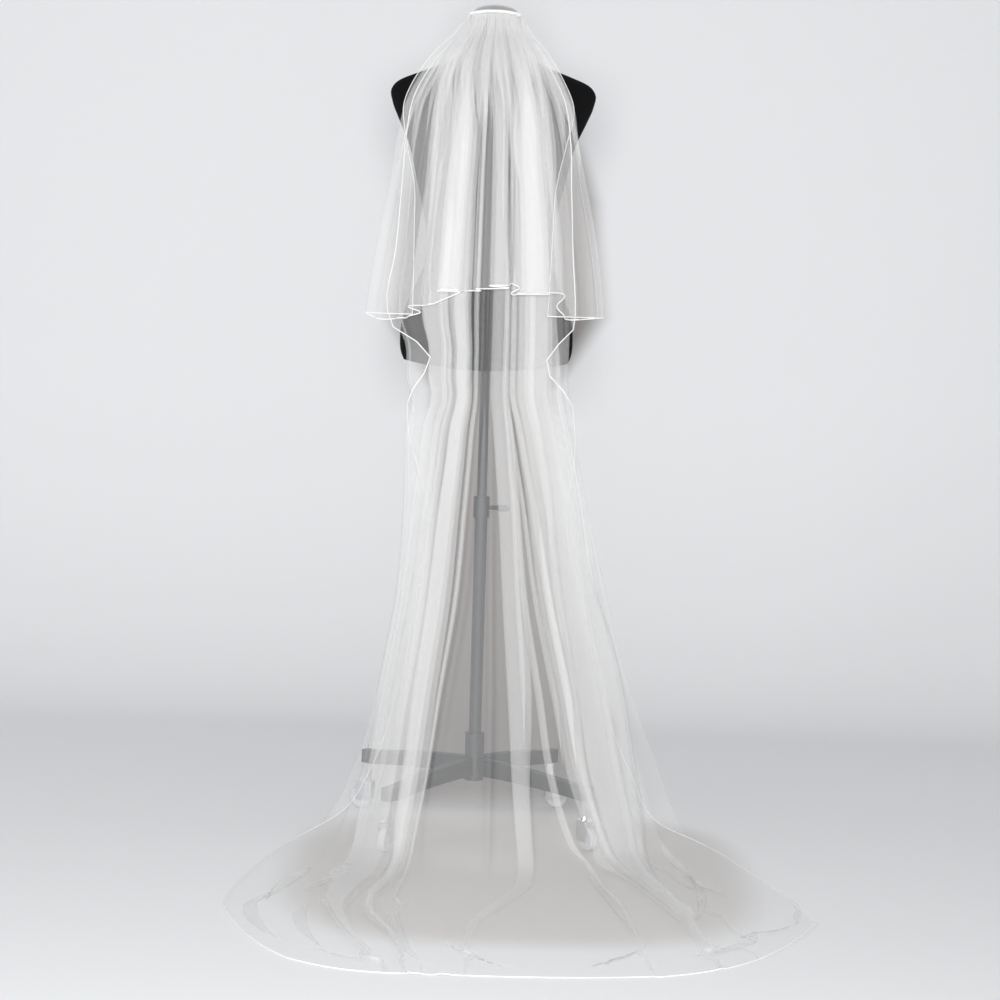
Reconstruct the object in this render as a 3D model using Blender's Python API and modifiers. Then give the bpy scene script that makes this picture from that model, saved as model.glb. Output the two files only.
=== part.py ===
"""Two tier bridal veil on a dress form with a wheeled stand.

The veil is two sheets of soft tulle, each gathered at the top into one short header band
on a comb. The upper sheet ends below the waist and the lower one runs out into a train on
the floor. Both have a corded edge. The back of the veil, with its train, faces -Y, and the
floor is z = 0. Metres.
"""

import math

import bmesh
import bpy
from mathutils import Vector

# Where the pole stands, seen from the middle of the footprint.
AXIS_X = -0.0874
AXIS_Y = 0.3969

# Dress form.
FORM_SIDES = 32
NECK_TOP = 1.5480
NECK_RADIUS = 0.0480
CAP_RADIUS = 0.0430
CAP_HEIGHT = 0.0200
FORM_UNDERSIDE = 0.9000
UNDERSIDE_DIP = 0.0160
SEAT_RADIUS = 0.0200

# Pole, hub, legs and casters.
SEAT_GAP = 0.0003
POLE_UPPER_RADIUS = 0.0092
POLE_LOWER_RADIUS = 0.0122
POLE_WALL = 0.0020
COLLAR_RADIUS = 0.0160
COLLAR_HEIGHT = 0.0400
COLLAR_BASE = 0.6020
UPPER_POLE_BASE = 0.3800
HUB_RADIUS = 0.0185
HUB_BASE = 0.0950
HUB_TOP = 0.1860
SCREW_RADIUS = 0.0040
SCREW_LENGTH = 0.0160
WING_LENGTH = 0.0300
WING_HEIGHT = 0.0140
WING_THICK = 0.0050
SCREW_TURN = math.radians(-20)
LEG_AZIMUTHS = (-36.0, 54.0, 144.0, 234.0)
LEG_REACH = 0.2720
LEG_WIDTH = 0.0220
LEG_ROOT_DEPTH = 0.0330
LEG_TIP_DEPTH = 0.0260
LEG_TIP_FLAT = 0.0250
LEG_DROOP = 0.0200
LEG_TIP_TOP = 0.1180
CASTER_TRAIL = 0.0150
WHEEL_RADIUS = 0.0230
WHEEL_WIDTH = 0.0140
WHEEL_HUB_RADIUS = 0.0060
FORK_INNER = 0.0100
FORK_WALL = 0.0020
FORK_LENGTH = 0.0320
FORK_BACK = -0.0090
FORK_BASE = 0.0180
FORK_TOP = 0.0560
STEM_RADIUS = 0.0060
CASTER_HEADINGS = (-60.0, 20.0, 165.0, 250.0)

# Header: the band over both sheets, and the comb inside them.
BAND_INNER = 0.0502
BAND_OUTER = 0.0668
BAND_BASE = 1.5470
BAND_HEIGHT = 0.0080
BAND_HALF_ANGLE = math.radians(51)
COMB_RADIUS = 0.0489
COMB_THICK = 0.0010
COMB_TEETH = 16
COMB_HALF_ANGLE = math.radians(46)
COMB_SPINE = 0.0080
COMB_TOOTH = 0.0300
COMB_LEAN = 0.0850

# Cloth.
WALL = 0.0010
CORD_RADIUS = 0.0010
GATHER_STEPS = 3
TURN_BULGE = 0.45
PLEAT_LEAN = 0.70
PLEAT_START = 0.04
RIDGE_HEIGHT = 1.40
RIDGE_FOOT = 1.50
RIPPLE = 0.50
LEAST_STEP = 0.0022
EDGING = 0.60
EDGING_LIMIT = 0.45
STRIP_STEP = 0.0030
STRIP_LIFT = 3.40

# Torso sections, bottom to top: height, half width, depth to the chest, depth to the back.
FORM_SECTIONS = (
    (0.900, 0.156, 0.098, 0.096),
    (0.912, 0.161, 0.102, 0.104),
    (0.945, 0.164, 0.106, 0.112),
    (0.990, 0.158, 0.103, 0.110),
    (1.040, 0.138, 0.095, 0.094),
    (1.100, 0.116, 0.086, 0.078),
    (1.155, 0.121, 0.092, 0.080),
    (1.210, 0.133, 0.108, 0.088),
    (1.265, 0.146, 0.126, 0.097),
    (1.310, 0.158, 0.122, 0.102),
    (1.350, 0.176, 0.104, 0.099),
    (1.385, 0.190, 0.082, 0.088),
    (1.408, 0.192, 0.062, 0.074),
    (1.424, 0.178, 0.052, 0.066),
    (1.440, 0.140, 0.050, 0.060),
    (1.456, 0.096, 0.051, 0.056),
    (1.474, 0.066, 0.051, 0.053),
    (1.500, 0.054, 0.049, 0.050),
    (1.548, 0.048, 0.048, 0.048),
)

# Levels down the lower sheet, comb to hem. z; x of the left and the right outer crease;
# y at the middle and at the creases; power of the curve between them; distance between
# stacked layers; share of the folds that has formed; depth of the header's gathers; the
# left and the right end strip, beyond the outer crease, as its width and its turn, 0 flat,
# 1 folded behind, -1 folded in front; place between the fold table's columns, 0 to 4.
LOWER_LEVELS = (
    # z      left    right    mid     side    pow  layer   formed gather  end strips                place
    (1.5458, -.0415, .0415, -.0545, -.0350, 2.2, .0000, 0.00, .0021, (.003, 0.0), (.003, 0.0), 0.0),
    (1.5150, -.0540, .0530, -.0640, -.0430, 2.2, .0014, 0.00, .0026, (.003, 0.0), (.003, 0.0), 0.0),
    (1.4750, -.0860, .0810, -.0790, -.0600, 2.2, .0028, 0.02, .0028, (.005, 0.0), (.005, 0.0), 0.0),
    (1.4560, -.0990, .0915, -.0855, -.0670, 2.2, .0032, 0.10, .0026, (.005, 0.0), (.005, 0.0), 0.0),
    (1.4350, -.1120, .1020, -.0920, -.0740, 2.2, .0037, 0.26, .0022, (.006, 0.0), (.006, 0.0), 0.0),
    (1.3900, -.1330, .1220, -.1060, -.0920, 2.2, .0040, 0.65, .0014, (.007, 0.0), (.007, 0.0), 0.0),
    (1.3200, -.1460, .1340, -.1180, -.0950, 2.2, .0043, 1.00, .0006, (.008, 0.0), (.008, 0.0), 0.0),
    (1.2100, -.1540, .1410, -.1250, -.0960, 2.2, .0045, 1.00, .0000, (.010, 0.0), (.009, 0.0), 0.0),
    (1.1000, -.1600, .1460, -.1300, -.0970, 2.2, .0045, 1.00, .0000, (.012, 0.0), (.010, 0.0), 0.0),
    (1.0000, -.1680, .1480, -.1350, -.1000, 2.2, .0045, 1.00, .0000, (.014, -.25), (.011, -.25), 0.0),
    (0.9350, -.1530, .1510, -.1400, -.1060, 2.2, .0045, 1.00, .0000, (.024, -.6), (.018, -.6), 0.0),
    (0.8950, -.1460, .1510, -.1440, -.1100, 2.2, .0045, 1.00, .0000, (.050, -1.), (.036, -1.), 0.0),
    (0.8520, -.1420, .1500, -.1490, -.1120, 2.2, .0050, 1.00, .0000, (.020, -.6), (.016, -.6), 0.0),
    (0.7800, -.1210, .1490, -.1580, -.1130, 2.2, .0055, 1.00, .0000, (.008, -.25), (.008, -.25), 0.2),
    (0.6400, -.1370, .1970, -.1880, -.1160, 2.2, .0065, 1.00, .0000, (.008, 0.0), (.010, 0.0), 0.6),
    (0.4700, -.1500, .2380, -.2320, -.1180, 2.2, .0075, 1.00, .0000, (.010, .15), (.012, .15), 1.0),
    (0.3000, -.1820, .2760, -.2800, -.1180, 2.2, .0080, 1.00, .0000, (.010, 0.3), (.014, 0.3), 1.5),
    (0.1500, -.2200, .3280, -.3260, -.1180, 2.2, .0080, 1.00, .0000, (.010, 0.3), (.014, 0.3), 1.9),
    (0.0620, -.2600, .3600, -.3620, -.1200, 2.2, .0075, 1.00, .0000, (.010, .15), (.012, .15), 2.3),
    (0.0160, -.2900, .3860, -.4050, -.1300, 2.2, .0065, 1.00, .0000, (.010, 0.0), (.010, 0.0), 2.6),
    (0.0005, -.3240, .4200, -.4700, -.1700, 2.4, .0050, 1.00, .0000, (.006, 0.0), (.006, 0.0), 3.0),
    (0.0005, -.3560, .4620, -.6000, -.2900, 2.8, .0045, 1.00, .0000, (.006, 0.0), (.006, 0.0), 3.25),
    (0.0005, -.3800, .5000, -.7300, -.4100, 3.2, .0040, 1.00, .0000, (.006, 0.0), (.006, 0.0), 3.5),
    (0.0005, -.3940, .5340, -.8600, -.5300, 3.6, .0036, 1.00, .0000, (.006, 0.0), (.006, 0.0), 3.72),
    (0.0005, -.3990, .5600, -.9650, -.6200, 4.0, .0032, 1.00, .0000, (.006, 0.0), (.006, 0.0), 3.9),
    (0.0005, -.3990, .5740, -1.020, -.6700, 4.2, .0030, 1.00, .0000, (.006, 0.0), (.006, 0.0), 4.0),
)

# Folds of the lower sheet, left to right. Kind, with the side on which the top layer
# leaves a pleat; plain points before it; points along each of its layers; then its turns' x
# at the hip, knee, ankle, landing and hem.
LOWER_FOLDS = (
    ("pleat right", 4, 2, ((-.0290, -.1150), (-.0620, -.1270), (-.1080, -.1700), (-.1560, -.2200),
                           (-.1080, -.1930))),
    ("ridge", 1, 0, ((-.0120,), (-.0380,), (-.0820,), (-.1200,), (-.0720,))),
    ("ridge", 1, 0, ((.0010,), (-.0120,), (-.0520,), (-.0820,), (-.0320,))),
    ("pleat left", 2, 0, ((.0380, .0180), (.0740, .0480), (.1010, .0740), (.1080, .0820),
                          (.0480, .0250))),
    ("ridge", 3, 0, ((.0520,), (.0910,), (.1360,), (.1850,), (.2500,))),
    ("pleat left", 2, 2, ((.1260, .0690), (.1980, .1180), (.2650, .1830), (.3180, .2700),
                          (.4000, .3500))),
    ("ridge", 5, 0, ((.1370,), (.2150,), (.3000,), (.3700,), (.4900,))),
)
PLAIN_AFTER_LOWER = 2

# Levels down the upper sheet: as above, with the hem's own drop worked out below.
UPPER_LEVELS = (
    # drop  left    right    mid     side    pow  layer   formed gather  end strips                place
    (0.000, -.0460, .0460, -.0620, -.0400, 2.2, .0000, 0.00, .0021, (.003, 0.0), (.003, 0.0), 0.0),
    (0.060, -.0620, .0600, -.0750, -.0530, 2.2, .0014, 0.00, .0028, (.003, 0.0), (.003, 0.0), 0.0),
    (0.140, -.1020, .0950, -.0980, -.0780, 2.2, .0030, 0.02, .0030, (.005, 0.0), (.005, 0.0), 0.0),
    (0.180, -.1165, .1075, -.1080, -.0850, 2.2, .0034, 0.11, .0028, (.005, 0.0), (.005, 0.0), 0.0),
    (0.220, -.1310, .1200, -.1180, -.0920, 2.2, .0039, 0.32, .0022, (.006, 0.0), (.006, 0.0), 0.0),
    (0.310, -.1540, .1420, -.1360, -.1090, 2.2, .0042, 0.65, .0012, (.006, 0.2), (.006, 0.2), 0.0),
    (0.430, -.1740, .1620, -.1480, -.1120, 2.2, .0044, 1.00, .0005, (.008, 0.6), (.008, 0.6), 0.0),
    (0.580, -.1880, .1800, -.1560, -.1130, 2.2, .0048, 1.00, .0000, (.012, 0.9), (.014, 0.9), 0.0),
    (0.730, -.2040, .1980, -.1630, -.1130, 2.2, .0050, 1.00, .0000, (.020, 1.0), (.032, 1.0), 0.0),
    (0.870, -.2170, .2120, -.1690, -.1120, 2.2, .0052, 1.00, .0000, (.022, 1.0), (.038, 1.0), 0.0),
    (1.000, -.2270, .2210, -.1750, -.1110, 2.2, .0052, 1.00, .0000, (.022, 1.0), (.042, 1.0), 0.0),
)
UPPER_TOP = 1.5458

# Folds of the upper sheet, in the same columns, with their turns' x at the hem.
UPPER_FOLDS = (
    ("ridge", 2, 0, ((-.1850,),)),
    ("pleat right", 2, 0, ((-.1190, -.1410),)),
    ("pleat left", 1, 0, ((-.0830, -.0940),)),
    ("ridge", 2, 0, ((-.0420,),)),
    ("ridge", 2, 0, ((.0030,),)),
    ("pleat left", 2, 0, ((.0600, .0470),)),
    ("ridge", 2, 0, ((.0900,),)),
    ("pleat right", 2, 0, ((.1480, .1250),)),
    ("ridge", 3, 0, ((.1900,),)),
)
PLAIN_AFTER_UPPER = 2

# Height of the upper sheet's hem at places across it.
UPPER_HEM = (
    (-.230, .984), (-.185, .978), (-.122, .985), (-.105, 1.004), (-.084, 1.022),
    (-.022, 1.030), (.048, 1.040), (.062, 1.022), (.115, 1.020), (.130, .998), (.150, .980),
    (.222, .980),
)


def lerp(a, b, share):
    return a + (b - a) * share


def table_value(rows, x):
    """Straight-line reading of a two column table, flat beyond its ends."""
    if x <= rows[0][0]:
        return rows[0][1]
    for (x0, v0), (x1, v1) in zip(rows, rows[1:]):
        if x <= x1:
            return lerp(v0, v1, (x - x0) / (x1 - x0))
    return rows[-1][1]


def new_object(name, mesh, parent, material):
    """Adds a mesh as a named object of the veil's collection."""
    obj = bpy.data.objects.new(name, mesh)
    bpy.data.collections["bridal_veil"].objects.link(obj)
    obj.parent = parent
    mesh.materials.append(material)
    return obj


def smooth(mesh, degrees=40):
    mesh.shade_smooth()
    mesh.set_sharp_from_angle(angle=math.radians(degrees))


def make_material(name, colour, roughness, metallic=0.0, alpha=1.0):
    material = bpy.data.materials.new(name)
    material.use_nodes = True
    shader = material.node_tree.nodes["Principled BSDF"]
    shader.inputs["Base Color"].default_value = (*colour, 1.0)
    shader.inputs["Roughness"].default_value = roughness
    shader.inputs["Metallic"].default_value = metallic
    shader.inputs["Alpha"].default_value = alpha
    return material


def ring_loft(name, rings, parent, material):
    """Closed solid through rings of points, bottom to top, with flat ends."""
    mesh = bmesh.new()
    loops = [[mesh.verts.new(point) for point in ring] for ring in rings]
    sides = len(rings[0])
    for low, high in zip(loops, loops[1:]):
        for i in range(sides):
            j = (i + 1) % sides
            mesh.faces.new((low[i], low[j], high[j], high[i]))
    mesh.faces.new(list(reversed(loops[0])))
    mesh.faces.new(loops[-1])
    data = bpy.data.meshes.new(name)
    mesh.to_mesh(data)
    mesh.free()
    smooth(data)
    return new_object(name, data, parent, material)


def turned(name, profile, parent, material, place=(0, 0, 0), steps=24):
    """Solid of revolution about Z, from a profile that runs down its outer side."""
    data = bpy.data.meshes.new(name)
    points = [(radius, 0.0, height) for radius, height in profile]
    data.from_pydata(points, [(i, i + 1) for i in range(len(points) - 1)], [])
    obj = new_object(name, data, parent, material)
    obj.location = place
    screw = obj.modifiers.new("turn", "SCREW")
    screw.steps = steps
    screw.render_steps = steps
    screw.use_merge_vertices = True
    screw.merge_threshold = 0.00001
    screw.use_smooth_shade = True
    return obj


def tube(name, outer, inner, base, top, parent, material):
    """Upright tube with flat ends."""
    profile = ((inner, top), (outer, top), (outer, base), (inner, base), (inner, top))
    return turned(name, profile, parent, material)


def torso(parent, material):
    """Limbless body of the form: oval sections, with a flatter back than chest."""
    bottom = FORM_SECTIONS[0][0]
    turns = [2 * math.pi * i / FORM_SIDES for i in range(FORM_SIDES)]
    rings = [[(SEAT_RADIUS * math.cos(turn), SEAT_RADIUS * math.sin(turn),
               bottom - UNDERSIDE_DIP) for turn in turns]]
    for height, half, chest, back in FORM_SECTIONS:
        ring = []
        for turn in turns:
            x = half * math.cos(turn)
            y = (chest if math.sin(turn) > 0 else back) * math.sin(turn)
            dip = UNDERSIDE_DIP * (1 - (x / half) ** 2) if height == bottom else 0.0
            ring.append((x, y, height - dip))
        rings.append(ring)
    return ring_loft("dress_form_torso", rings, parent, material)


def neck_cap(parent, material):
    """Low metal dome on the flat top of the neck."""
    base = NECK_TOP + SEAT_GAP
    profile = [(0.0, base + CAP_HEIGHT)]
    for i in range(1, 6):
        turn = math.radians(18 * i)
        profile.append((CAP_RADIUS * math.sin(turn), base + 0.004
                        + (CAP_HEIGHT - 0.004) * math.cos(turn)))
    profile += [(CAP_RADIUS, base), (0.0, base)]
    return turned("neck_cap", profile, parent, material, steps=32)


def stand(parent, metal):
    """Telescoping pole with its clamp collar, and the hub that holds the legs."""
    top = FORM_UNDERSIDE - UNDERSIDE_DIP - SEAT_GAP
    turned("pole_upper", ((0, top), (POLE_UPPER_RADIUS, top),
                          (POLE_UPPER_RADIUS, UPPER_POLE_BASE), (0, UPPER_POLE_BASE)),
           parent, metal)
    bore = POLE_UPPER_RADIUS + SEAT_GAP
    tube("pole_lower", POLE_LOWER_RADIUS, bore, HUB_TOP + SEAT_GAP, COLLAR_BASE - SEAT_GAP,
         parent, metal)
    tube("pole_collar", COLLAR_RADIUS, bore, COLLAR_BASE, COLLAR_BASE + COLLAR_HEIGHT,
         parent, metal)
    turned("base_hub", ((0, HUB_TOP), (HUB_RADIUS, HUB_TOP), (HUB_RADIUS, HUB_BASE),
                        (0, HUB_BASE)), parent, metal, steps=32)


def thumbscrew(parent, metal):
    """Wing screw on the collar: a short shank and an oval wing, turning about its own axis."""
    holder = bpy.data.objects.new("screw_axis", None)
    bpy.data.collections["bridal_veil"].objects.link(holder)
    holder.parent = parent
    height = COLLAR_BASE + COLLAR_HEIGHT / 2
    reach = COLLAR_RADIUS + SEAT_GAP
    holder.location = (reach * math.cos(SCREW_TURN), reach * math.sin(SCREW_TURN), height)
    holder.rotation_euler = (0, math.radians(90), SCREW_TURN)
    mesh = bmesh.new()
    made = bmesh.ops.create_cone(mesh, cap_ends=True, segments=16, radius1=SCREW_RADIUS,
                                 radius2=SCREW_RADIUS, depth=SCREW_LENGTH)
    bmesh.ops.translate(mesh, verts=made["verts"], vec=(0, 0, SCREW_LENGTH / 2))
    shank = bpy.data.meshes.new("screw_shank")
    mesh.to_mesh(shank)
    mesh.free()
    shank_object = new_object("thumbscrew", shank, holder, metal)
    mesh = bmesh.new()
    bmesh.ops.create_uvsphere(mesh, u_segments=20, v_segments=10, radius=0.5)
    bmesh.ops.scale(mesh, verts=mesh.verts, vec=(WING_HEIGHT, WING_THICK * 1.6, WING_LENGTH))
    bmesh.ops.translate(mesh, verts=mesh.verts,
                        vec=(0, 0, SCREW_LENGTH - 0.004 + WING_LENGTH / 2))
    wing = bpy.data.meshes.new("screw_wing")
    mesh.to_mesh(wing)
    mesh.free()
    wing_object = bpy.data.objects.new("screw_wing", wing)
    bpy.data.collections["helpers"].objects.link(wing_object)
    wing_object.parent = holder
    wing_object.hide_render = True
    wing_object.display_type = "WIRE"
    join = shank_object.modifiers.new("wing", "BOOLEAN")
    join.operation = "UNION"
    join.object = wing_object
    shank.shade_smooth()


def leg(index, azimuth, parent, metal):
    """One cast leg: a bar of rectangular section that droops from the hub to its caster."""
    start = HUB_RADIUS + SEAT_GAP
    stations = 6
    rings = []
    for i in range(stations + 1):
        share = min(i / (stations - 1), 1.0)
        reach = lerp(start, LEG_REACH - LEG_TIP_FLAT, share)
        reach += LEG_TIP_FLAT * (i == stations)
        top = LEG_TIP_TOP + LEG_DROOP * (1 - share ** 1.6)
        depth = lerp(LEG_ROOT_DEPTH, LEG_TIP_DEPTH, share)
        half = LEG_WIDTH / 2 * lerp(1.0, 0.86, share)
        rings.append([(reach, -half, top - depth), (reach, half, top - depth),
                      (reach, half, top), (reach, -half, top)])
    obj = ring_loft("leg_%d" % index, rings, parent, metal)
    obj.rotation_euler = (0, 0, math.radians(azimuth))
    return obj


def caster(index, azimuth, heading, parent, chrome, clear):
    """Caster: a stem and fork that swivel under the leg's tip, and a wheel that rolls in it."""
    turn = math.radians(azimuth)
    reach = LEG_REACH - LEG_TIP_FLAT / 2
    swivel = bpy.data.objects.new("swivel_%d" % index, None)
    bpy.data.collections["bridal_veil"].objects.link(swivel)
    swivel.parent = parent
    swivel.location = (reach * math.cos(turn), reach * math.sin(turn), 0)
    swivel.rotation_euler = (0, 0, math.radians(heading))
    outer = FORK_INNER + FORK_WALL
    roof = FORK_TOP - FORK_WALL
    arch = ((-outer, FORK_BASE), (-outer, FORK_TOP), (outer, FORK_TOP), (outer, FORK_BASE),
            (FORK_INNER, FORK_BASE), (FORK_INNER, roof), (-FORK_INNER, roof),
            (-FORK_INNER, FORK_BASE))
    rings = [[(x, y, z) for y, z in arch] for x in (FORK_BACK, FORK_BACK + FORK_LENGTH)]
    fork = ring_loft("caster_fork_%d" % index, rings, swivel, chrome)
    stem_top = LEG_TIP_TOP - LEG_TIP_DEPTH - SEAT_GAP
    stem = turned("caster_stem_%d" % index,
                  ((0, stem_top), (STEM_RADIUS, stem_top), (STEM_RADIUS, FORK_TOP + 0.006),
                   (FORK_INNER - 0.002, FORK_TOP - FORK_WALL / 2), (0, FORK_TOP - FORK_WALL / 2)),
                  swivel, chrome, steps=16)
    make_helper(stem)
    join = fork.modifiers.new("stem", "BOOLEAN")
    join.operation = "UNION"
    join.object = stem
    half = WHEEL_WIDTH / 2
    hub = FORK_INNER - SEAT_GAP
    wheel = turned("caster_wheel_%d" % index,
                   ((0, hub), (WHEEL_HUB_RADIUS, hub), (WHEEL_HUB_RADIUS, half),
                    (WHEEL_RADIUS - 0.002, half), (WHEEL_RADIUS, half - 0.002),
                    (WHEEL_RADIUS, 0.002 - half), (WHEEL_RADIUS - 0.002, -half),
                    (WHEEL_HUB_RADIUS, -half), (WHEEL_HUB_RADIUS, -hub), (0, -hub)),
                   swivel, clear, steps=18)
    wheel.location = (CASTER_TRAIL, 0, WHEEL_RADIUS)
    wheel.rotation_euler = (math.radians(90), 0, 0)


def make_helper(obj):
    """Moves an object that only feeds a Boolean out of the part."""
    bpy.data.collections["bridal_veil"].objects.unlink(obj)
    bpy.data.collections["helpers"].objects.link(obj)
    obj.hide_render = True
    obj.display_type = "WIRE"


def header_band(parent, material):
    """Stitched band, an arc over the gathered tops of both sheets."""
    rings = []
    steps = 24
    for i in range(steps + 1):
        turn = math.radians(-90) + BAND_HALF_ANGLE * (2 * i / steps - 1)
        c, s = math.cos(turn), math.sin(turn)
        rings.append([(r * c, r * s, z) for r, z in (
            (BAND_INNER, BAND_BASE), (BAND_INNER, BAND_BASE + BAND_HEIGHT),
            (BAND_OUTER - 0.002, BAND_BASE + BAND_HEIGHT),
            (BAND_OUTER, BAND_BASE + BAND_HEIGHT - 0.002), (BAND_OUTER, BAND_BASE))])
    return ring_loft("header_band", rings, parent, material)


def comb(parent, material):
    """Comb behind the gathers: a spine with teeth, bent round the neck."""
    mesh = bmesh.new()
    columns = 2 * COMB_TEETH - 1
    top = BAND_BASE - SEAT_GAP
    heights = (top, top - COMB_SPINE, top - COMB_SPINE - COMB_TOOTH)

    def corner(column, height):
        turn = math.radians(-90) + COMB_HALF_ANGLE * (2 * column / columns - 1)
        radius = COMB_RADIUS + COMB_THICK / 2 + comb_slope(height)
        return mesh.verts.new((radius * math.cos(turn), radius * math.sin(turn), height))

    grid = [[corner(column, height) for column in range(columns + 1)] for height in heights]
    for row, step in ((0, 1), (1, 2)):
        for column in range(0, columns, step):
            mesh.faces.new((grid[row][column], grid[row + 1][column],
                            grid[row + 1][column + 1], grid[row][column + 1]))
    data = bpy.data.meshes.new("comb")
    mesh.to_mesh(data)
    mesh.free()
    obj = new_object("comb", data, parent, material)
    shell = obj.modifiers.new("thickness", "SOLIDIFY")
    shell.thickness = COMB_THICK
    shell.offset = 0.0
    return obj


def comb_slope(height):
    """How far the comb leans out from its top, to follow the neck."""
    return COMB_LEAN * (BAND_BASE - height)


def pleat_points(turns, layer, over, run):
    """(x, offset, tilt) of a pleat, in order along the cloth. Its two turns go right then
    left, and the top layer leaves over the left or the right edge. Run counts the points
    along each layer, which let it follow the curve of the sheet. Tilt is the share of the
    lift by which a pleat that is still forming stands on edge."""
    right, left = turns
    rise = 1 if over == "right" else -1
    low, high = (0, 2) if rise > 0 else (2, 0)
    shares = [(k + 1) / (run + 1) for k in range(run)]
    points = [(right, low * layer, 0.0),
              (right + TURN_BULGE * layer, (low + rise / 2) * layer, -rise / 2),
              (right, layer, -rise)]
    points += [(lerp(right, left, share), layer, rise * (2 * share - 1)) for share in shares]
    points += [(left, layer, rise),
               (left - TURN_BULGE * layer, (high - rise / 2) * layer, rise / 2),
               (left, high * layer, 0.0)]
    top = [(lerp(left, right, share), 2 * layer, 0.0) for share in shares]
    lean = 2 * PLEAT_LEAN * layer
    if rise > 0:
        return points + top + [(right, 2 * layer, 0.0), (right + lean, 0.0, 0.0)]
    return [(left - lean, 0.0, 0.0), (left, 2 * layer, 0.0)] + top + points


def strip_points(crease, strip, layer, hand):
    """Points of an end strip beyond an outer crease, as above, from its free edge in.
    Hand is -1 at the left end of the cloth and 1 at the right."""
    width, turn = strip
    height = (1.0 if turn > 0 else STRIP_LIFT) * layer * abs(turn)
    side = -1 if turn > 0 else 1
    swing = math.pi * abs(turn)
    bulge = TURN_BULGE * layer * abs(turn)
    points = []
    for share in (1.0, 0.5):
        points.append((crease + hand * share * width * math.cos(swing),
                       side * (share * width * math.sin(swing) + height), 0.0))
    points.append((crease + hand * bulge, side * height / 2, 0.0))
    points.append((crease - hand * lerp(STRIP_STEP, bulge, abs(turn)), 0.0, 0.0))
    return points


def cloth_profile(level, folds, plain_after, scale_from):
    """(x, offset) of every column of the cloth at one level, left to right along the cloth."""
    _, left, right, _, _, _, layer, formed, gather, left_strip, right_strip, place = level
    column = min(int(place), len(folds[0][3]) - 2) if len(folds[0][3]) > 1 else 0
    share = place - column
    stretch = (left / scale_from[0], right / scale_from[1]) if place == 0 else (1.0, 1.0)
    points = strip_points(left, left_strip, layer, -1)
    folded = [False] * len(points)
    blocks = []
    for kind, plain, run, places in folds:
        first = places[column]
        last = places[min(column + 1, len(places) - 1)]
        turns = [lerp(a, b, share) for a, b in zip(first, last)]
        turns = [x * (stretch[0] if x < 0 else stretch[1]) for x in turns]
        if kind == "ridge":
            foot = RIDGE_FOOT * layer
            made = [(turns[0] - foot, 0.0, 0.0), (turns[0], RIDGE_HEIGHT * layer, 0.0),
                    (turns[0] + foot, 0.0, 0.0)]
        else:
            made = pleat_points(turns, layer, kind.split()[1], run)
        blocks.append((kind, plain, made, min(x for x, _, _ in made)))
    end = strip_points(right, right_strip, layer, 1)[::-1]
    blocks.append(("end", plain_after, end, end[0][0]))
    before, reach = "end", points[-1][0]
    for kind, plain, made, near in blocks:
        hidden = kind == "pleat right" or before == "pleat left"
        shift = max(reach + LEAST_STEP * (1 if hidden else plain + 1) - near, 0.0)
        made = [(x + shift, offset, tilt) for x, offset, tilt in made]
        step = (made[0][0] - points[-1][0]) / (plain + 1)
        rise = 0.0 if hidden else RIPPLE * min(layer, step)
        start = points[-1][0]
        points += [(start + step * (i + 1), rise * ((i + 1) % 2), 0.0) for i in range(plain)]
        points += made
        folded += [hidden] * plain + [kind.startswith("pleat")] * len(made)
        before, reach = kind, max(x for x, _, _ in made)
    last = len(points) - 1
    edging = min(EDGING * gather, EDGING_LIMIT * layer)
    profile = []
    for i, (x, offset, tilt) in enumerate(points):
        even = lerp(left, right, i / last)
        wave = gather * math.sin(2 * math.pi * i / GATHER_STEPS)
        if folded[i]:
            wave = wave * max(0.0, 1.0 - formed / PLEAT_START) + edging * tilt
        profile.append((lerp(even, x, formed), offset + wave))
    return profile


def base_y(level, x):
    """Plan curve of the sheet at one level, before its folds."""
    _, left, right, middle, side, power = level[:6]
    share = abs(x / (left if x < 0 else right))
    return middle + (side - middle) * min(share, 1.15) ** power


def cloth_grid(levels, folds, plain_after, scale_from, height):
    """Points of a sheet's middle surface, a row for each level and a column for each fold
    point, and the way down at each point of the hem."""
    profiles = [cloth_profile(level, folds, plain_after, scale_from) for level in levels]
    hem_x = [x for x, _ in profiles[-1]]
    base = []
    for level, profile in zip(levels, profiles):
        base.append([Vector((x, base_y(level, x), height(level[0], hem_x[i])))
                     for i, (x, _) in enumerate(profile)])
    grid, fall = [], []
    for j, (level, profile) in enumerate(zip(levels, profiles)):
        row = []
        above, below = base[max(j - 1, 0)], base[min(j + 1, len(base) - 1)]
        for i, (x, offset) in enumerate(profile):
            step = 0.001
            across = Vector((2 * step, base_y(level, x + step) - base_y(level, x - step), 0))
            down = below[i] - above[i]
            outward = down.cross(across).normalized()
            row.append(base[j][i] + outward * offset)
            across.normalize()
            fall.append((down - across * down.dot(across)).normalized())
        grid.append(row)
    return grid, fall[-len(hem_x):]


def sheet(name, grid, parent, material):
    """Thin closed wall on a grid of points."""
    mesh = bmesh.new()
    verts = [[mesh.verts.new(point) for point in row] for row in grid]
    for high, low in zip(verts, verts[1:]):
        for a, b, c, d in zip(high, low, low[1:], high[1:]):
            halves = ((a, b, c), (a, c, d))
            if (b.co - d.co).length < (a.co - c.co).length:
                halves = ((a, b, d), (b, c, d))
            for half in halves:
                mesh.faces.new(half)
    data = bpy.data.meshes.new(name)
    mesh.to_mesh(data)
    mesh.free()
    data.shade_smooth()
    obj = new_object(name, data, parent, material)
    wall = obj.modifiers.new("wall", "SOLIDIFY")
    wall.thickness = WALL
    wall.offset = 0.0
    return obj


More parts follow.
